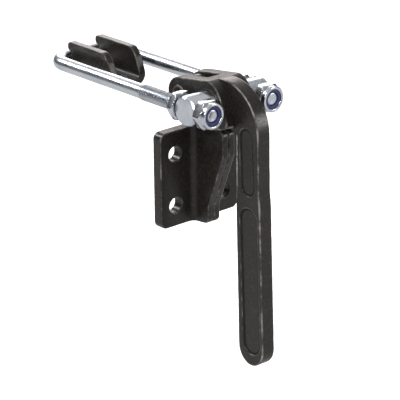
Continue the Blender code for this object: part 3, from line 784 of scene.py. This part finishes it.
# Name, place in metres, width and height in metres, power in watts, and colour.
LAMPS = (
    ("key_softbox", (0.50, -0.85, 1.02), (0.18, 0.18), 12, (1.0, 1.0, 1.0)),
    ("back_softbox", (-1.15, 1.0, 0.66), (1.3, 0.55), 14, (1.0, 0.93, 0.91)),
    ("left_softbox", (-1.02, -0.52, 0.88), (0.20, 0.20), 14, (0.95, 0.98, 1.0)),
    ("right_softbox", (1.08, 0.86, 0.30), (0.16, 0.40), 10, (1.0, 1.0, 1.0)),
    ("edge_softbox", (0.68, -1.09, 0.57), (0.14, 0.14), 8, (1.0, 1.0, 1.0)),
)
# Brightness from straight down, 0, past the horizon, 0.5, to straight up, 1.
SKY = (
    (0.0, 0.9), (0.40, 1.15), (0.47, 0.35), (0.55, 0.08),
    (0.66, 0.14), (0.78, 0.50), (0.90, 1.00), (1.0, 1.10),
)
AZIMUTH, ELEVATION, ROLL = 48.95, 20.8, 0.57
LENS, SENSOR, DISTANCE = 188.0, 36.0, 1.235
AIM = PIVOT + Vector((0.0520, -0.0423, -0.0473))


def build_floor():
    """Pale floor below the clamp, which its bright metal doesn't mirror."""
    half, level = FLOOR_SIZE / 2, cad_size[0][2] - FLOOR_DROP
    corners = [(x * half, y * half, level) for x, y in ((-1, -1), (1, -1), (1, 1), (-1, 1))]
    mesh = bpy.data.meshes.new("floor")
    mesh.from_pydata(corners, [], [(0, 1, 2, 3)])
    floor = bpy.data.objects.new("floor", mesh)
    bpy.context.scene.collection.objects.link(floor)
    mesh.materials.append(floor_paint("pale_floor"))
    floor.visible_glossy = False


def build_lamp(name, place, size, power, colour):
    """Softbox turned to the origin, and hidden from the camera."""
    data = bpy.data.lights.new(name, "AREA")
    data.shape = "RECTANGLE"
    data.size, data.size_y = size
    data.energy = power
    data.color = colour
    lamp = bpy.data.objects.new(name, data)
    bpy.context.scene.collection.objects.link(lamp)
    lamp.location = place
    lamp.rotation_euler = (-Vector(place)).to_track_quat("-Z", "Y").to_euler()
    lamp.visible_camera = False


def build_sky():
    """Grey surroundings, bright above and below and dark round the horizon."""
    world = bpy.data.worlds.new("studio")
    world.use_nodes = True
    tree = world.node_tree
    background = tree.nodes["Background"]
    coords = tree.nodes.new("ShaderNodeTexCoord").outputs["Generated"]
    direction = tree.nodes.new("ShaderNodeSeparateXYZ")
    tree.links.new(coords, direction.inputs["Vector"])
    ramp = tree.nodes.new("ShaderNodeValToRGB")
    while len(ramp.color_ramp.elements) < len(SKY):
        ramp.color_ramp.elements.new(0.5)
    for element, (place, level) in zip(ramp.color_ramp.elements, SKY):
        element.position = place
        element.color = (level, level, level, 1.0)
    tree.links.new(remap(tree, direction.outputs["Z"], (-1.0, 1.0)), ramp.inputs["Fac"])
    tree.links.new(ramp.outputs["Color"], background.inputs["Color"])
    background.inputs["Strength"].default_value = 1.0
    bpy.context.scene.world = world


def build_camera():
    """Camera at its azimuth and elevation, rolled a little about its own line of sight."""
    azimuth, elevation, roll = (math.radians(value) for value in (AZIMUTH, ELEVATION, ROLL))
    ahead = Vector((
        -math.sin(azimuth) * math.cos(elevation),
        math.cos(azimuth) * math.cos(elevation),
        -math.sin(elevation),
    ))
    right = Vector((math.cos(azimuth), math.sin(azimuth), 0.0))
    up = right.cross(ahead)
    tilted_right = right * math.cos(roll) - up * math.sin(roll)
    tilted_up = right * math.sin(roll) + up * math.cos(roll)
    data = bpy.data.cameras.new("camera")
    data.lens = LENS
    data.sensor_width = SENSOR
    camera = bpy.data.objects.new("camera", data)
    bpy.context.scene.collection.objects.link(camera)
    turn = Matrix((tilted_right, tilted_up, -ahead)).transposed().to_4x4()
    camera.matrix_world = Matrix.Translation(AIM - ahead * DISTANCE) @ turn
    bpy.context.scene.camera = camera


def build_stage():
    build_camera()
    build_floor()
    for lamp in LAMPS:
        build_lamp(*lamp)
    build_sky()
    bpy.context.scene.view_settings.view_transform = "Standard"


def build_clamp():
    coat = black_forging("black_forging", HANDLE_WEAR_AND_GLINT)
    pressing_coat = black_forging("black_pressing", PRESSING_WEAR_AND_GLINT)
    build_handle(coat)
    build_rivet(coat)
    for _, word in SIDES:
        build_pressing("base_bracket_" + word, "bracket_forging_" + word, pressing_coat, BRACKET_ROUNDS)
    build_pressing("catch_plate", "catch_forging", pressing_coat, CATCH_ROUNDS)
    build_cross_bar(zinc_plate("zinc_bar", BAR_ROUGHNESS, ALONG_Y))
    build_u_bolt(zinc_plate("zinc_rod", ROD_ROUGHNESS, ALONG_X, threaded=True))
    nut_zinc = zinc_plate("zinc_nuts", NUT_ROUGHNESS)
    nylon = blue_nylon("blue_nylon")
    for side, word in SIDES:
        build_hex_nut(word, side, nut_zinc)
        build_lock_nut(word, side, nut_zinc)
        build_nylon_ring(word, side, nylon)


build_stage()
build_clamp()
